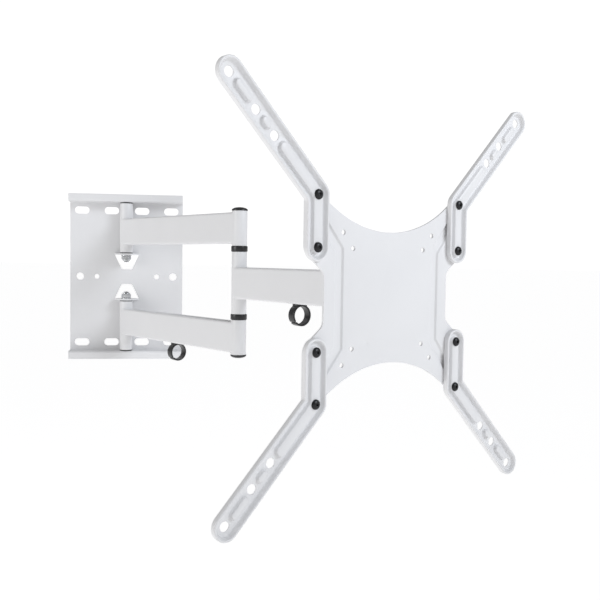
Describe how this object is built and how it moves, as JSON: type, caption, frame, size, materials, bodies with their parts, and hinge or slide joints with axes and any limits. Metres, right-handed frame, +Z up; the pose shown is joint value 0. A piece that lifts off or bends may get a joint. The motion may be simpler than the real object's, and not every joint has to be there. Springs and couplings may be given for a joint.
{
  "type": "full motion tv wall mount",
  "caption": "Articulated wall mount: a wall plate, swinging rear and front arms, a swivel and tilt head, and a screen plate with dog-leg extension arms.",
  "frame": {"origin": "centre of the wall plate's back face", "axes": "+Y into the wall, +Z up, +X to the right seen from the room; the mount reaches out along -Y"},
  "size_m": [0.5776, 0.6467, 0.427],
  "materials": {
    "white_coat": "satin white powder coat with a fine texture on sheet steel and tube",
    "black_plastic": "black moulded nylon with a low sheen",
    "black_screws": "black oxide steel, satin",
    "zinc_steel": "bright zinc-plated steel"
  },
  "bodies": {
    "wall_bracket": {"wall_plate": "white_coat", "wall_bolt_upper": "zinc_steel", "wall_bolt_lower": "zinc_steel", "wall_nut_upper": "zinc_steel", "wall_nut_lower": "zinc_steel", "wall_washers": "zinc_steel"},
    "rear_arm": {"lower_elbow_cap": "black_plastic", "lower_elbow_plug": "zinc_steel", "lower_elbow_sleeve": "white_coat", "lower_rear_beam": "white_coat", "lower_wall_bush_inner": "black_plastic", "lower_wall_bush_outer": "black_plastic", "lower_wall_sleeve": "white_coat", "upper_elbow_cap": "black_plastic", "upper_elbow_plug": "zinc_steel", "upper_elbow_sleeve": "white_coat", "upper_rear_beam": "white_coat", "upper_wall_bush_inner": "black_plastic", "upper_wall_bush_outer": "black_plastic", "upper_wall_sleeve": "white_coat", "elbow_bolt": "zinc_steel", "elbow_nut": "zinc_steel", "rear_cable_clip": "black_plastic"},
    "front_arm": {"front_elbow_sleeve": "white_coat", "front_beam": "white_coat", "front_head_sleeve": "white_coat", "elbow_ring_upper": "black_plastic", "elbow_ring_lower": "black_plastic", "head_bush_upper": "black_plastic", "head_bush_lower": "black_plastic", "front_cable_clip": "black_plastic"},
    "head": {"swivel_yoke": "white_coat", "head_bolt": "zinc_steel", "head_washer": "zinc_steel", "head_nut": "zinc_steel", "tilt_channel": "white_coat", "tilt_bolt": "zinc_steel", "tilt_nut": "zinc_steel", "tilt_washers": "zinc_steel"},
    "panel": {"arm_nuts_lower_left": "zinc_steel", "arm_nuts_lower_right": "zinc_steel", "arm_nuts_upper_left": "zinc_steel", "arm_nuts_upper_right": "zinc_steel", "arm_screws_lower_left": "black_screws", "arm_screws_lower_right": "black_screws", "arm_screws_upper_left": "black_screws", "arm_screws_upper_right": "black_screws", "extension_arm_lower_left": "white_coat", "extension_arm_lower_right": "white_coat", "extension_arm_upper_left": "white_coat", "extension_arm_upper_right": "white_coat", "friction_washers": "black_plastic", "panel_bracket": "white_coat", "screen_plate": "white_coat"}
  },
  "joints": [
    {"name": "wall_swing", "type": "hinge", "parent": "wall_bracket", "child": "rear_arm", "pos_m": [0, -0.0145, 0], "axis": [0, 0, 1], "range_deg": [-121.7, 58.3]},
    {"name": "elbow_swing", "type": "hinge", "parent": "rear_arm", "child": "front_arm", "pos_m": [0.16395, -0.27995, 0], "axis": [0, 0, 1], "range_deg": [-126.4, 133.6]},
    {"name": "head_swivel", "type": "hinge", "parent": "front_arm", "child": "head", "pos_m": [0.27322, -0.48461, 0], "axis": [0, 0, 1], "range_deg": [-92.5, 87.5]},
    {"name": "panel_tilt", "type": "hinge", "parent": "head", "child": "panel", "pos_m": [0.29358, -0.51904, 0], "axis": [0.8607, 0.509, 0], "range_deg": [-12, 12]}
  ]
}
